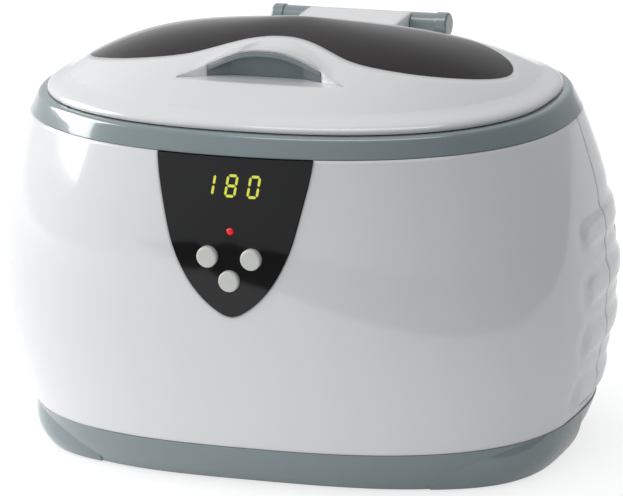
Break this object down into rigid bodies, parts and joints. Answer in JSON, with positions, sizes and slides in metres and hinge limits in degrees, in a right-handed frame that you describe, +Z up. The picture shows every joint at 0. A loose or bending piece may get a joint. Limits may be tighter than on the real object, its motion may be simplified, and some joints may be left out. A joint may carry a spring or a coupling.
{
  "type": "contact lens cleaner",
  "caption": "Oval bench-top ultrasonic cleaning bath for contact lenses and small items, with a hinged domed lid and front push buttons.",
  "frame": {"origin": "on the table, under the middle of the housing", "axes": "+Z up; -Y out of the front, where the control panel is; +X to the right of someone facing the panel"},
  "size_m": [0.2065, 0.1482, 0.1442],
  "materials": {
    "white_shell": "glossy white ABS",
    "white_liner": "satin white ABS",
    "grey_trim": "glossy blue-grey ABS",
    "grey_insert": "satin blue-grey ABS",
    "smoked_window": "smoked see-through acrylic",
    "stainless": "drawn stainless steel",
    "seal_silicone": "silicone",
    "foot_rubber": "black rubber",
    "screw_steel": "zinc-plated steel",
    "basket_plastic": "white polypropylene",
    "panel_gloss": "piano-black acrylic",
    "digit_glow": "lit yellow-green",
    "dark_plastic": "black moulded plastic",
    "button_cap": "warm light-grey ABS",
    "led_red": "lit red lens",
    "board_green": "soldermask",
    "gland_rubber": "grey-black rubber",
    "sink_aluminium": "plain aluminium",
    "capacitor_sleeve": "shrink sleeve",
    "fuse_glass": "clear glass with metal caps",
    "core_iron": "laminated core",
    "coil_copper": "enamelled copper",
    "piezo_ceramic": "silvered ceramic"
  },
  "bodies": {
    "housing": {"front_shell": "white_shell", "rear_shell": "white_shell", "base_tray": "grey_trim", "rubber_feet": "foot_rubber", "base_screws": "screw_steel", "tank": "stainless", "tank_gasket": "seal_silicone", "top_trim_ring": "grey_trim", "ring_screws": "screw_steel", "hinge_pin_left": "screw_steel", "hinge_pin_right": "screw_steel", "hinge_cap_left": "grey_trim", "hinge_cap_right": "grey_trim", "basket": "basket_plastic", "panel_lens": "panel_gloss", "display_digits": "digit_glow", "panel_carrier": "dark_plastic", "indicator_led": "led_red", "display_module": "dark_plastic", "control_board": "board_green", "tact_switches": "dark_plastic", "control_board_screws": "screw_steel", "cord_gland": "gland_rubber", "gland_nut": "dark_plastic", "drive_board": "board_green", "board_screws": "screw_steel", "heat_sink": "sink_aluminium", "power_transistors": "dark_plastic", "capacitors": "capacitor_sleeve", "fuse": "fuse_glass", "transformer_core": "core_iron", "transformer_coil": "coil_copper", "transducer_horn": "sink_aluminium", "electrodes": "coil_copper", "piezo_rings": "piezo_ceramic", "back_mass": "screw_steel", "transducer_bolt": "screw_steel"},
    "lid": {"lid_shell": "white_shell", "lid_window": "smoked_window", "grip_insert": "grey_insert", "lid_liner": "white_liner", "lid_screws": "screw_steel", "lid_bumpers": "foot_rubber"},
    "button_left": {"button_left": "button_cap"},
    "button_right": {"button_right": "button_cap"},
    "button_lower": {"button_lower": "button_cap"}
  },
  "joints": [
    {"name": "lid_hinge", "type": "hinge", "parent": "housing", "child": "lid", "pos_m": [0, 0.056, 0.1288], "axis": [-1, 0, 0], "range_deg": [0, 95]},
    {"name": "button_left_press", "type": "slide", "parent": "housing", "child": "button_left", "axis": [0, 1, 0], "range_m": [0, 0.0006], "stiffness_N_per_m": 800, "springref_m": -0.0005},
    {"name": "button_right_press", "type": "slide", "parent": "housing", "child": "button_right", "axis": [0, 1, 0], "range_m": [0, 0.0006], "stiffness_N_per_m": 800, "springref_m": -0.0005},
    {"name": "button_lower_press", "type": "slide", "parent": "housing", "child": "button_lower", "axis": [0, 1, 0], "range_m": [0, 0.0006], "stiffness_N_per_m": 800, "springref_m": -0.0005}
  ]
}
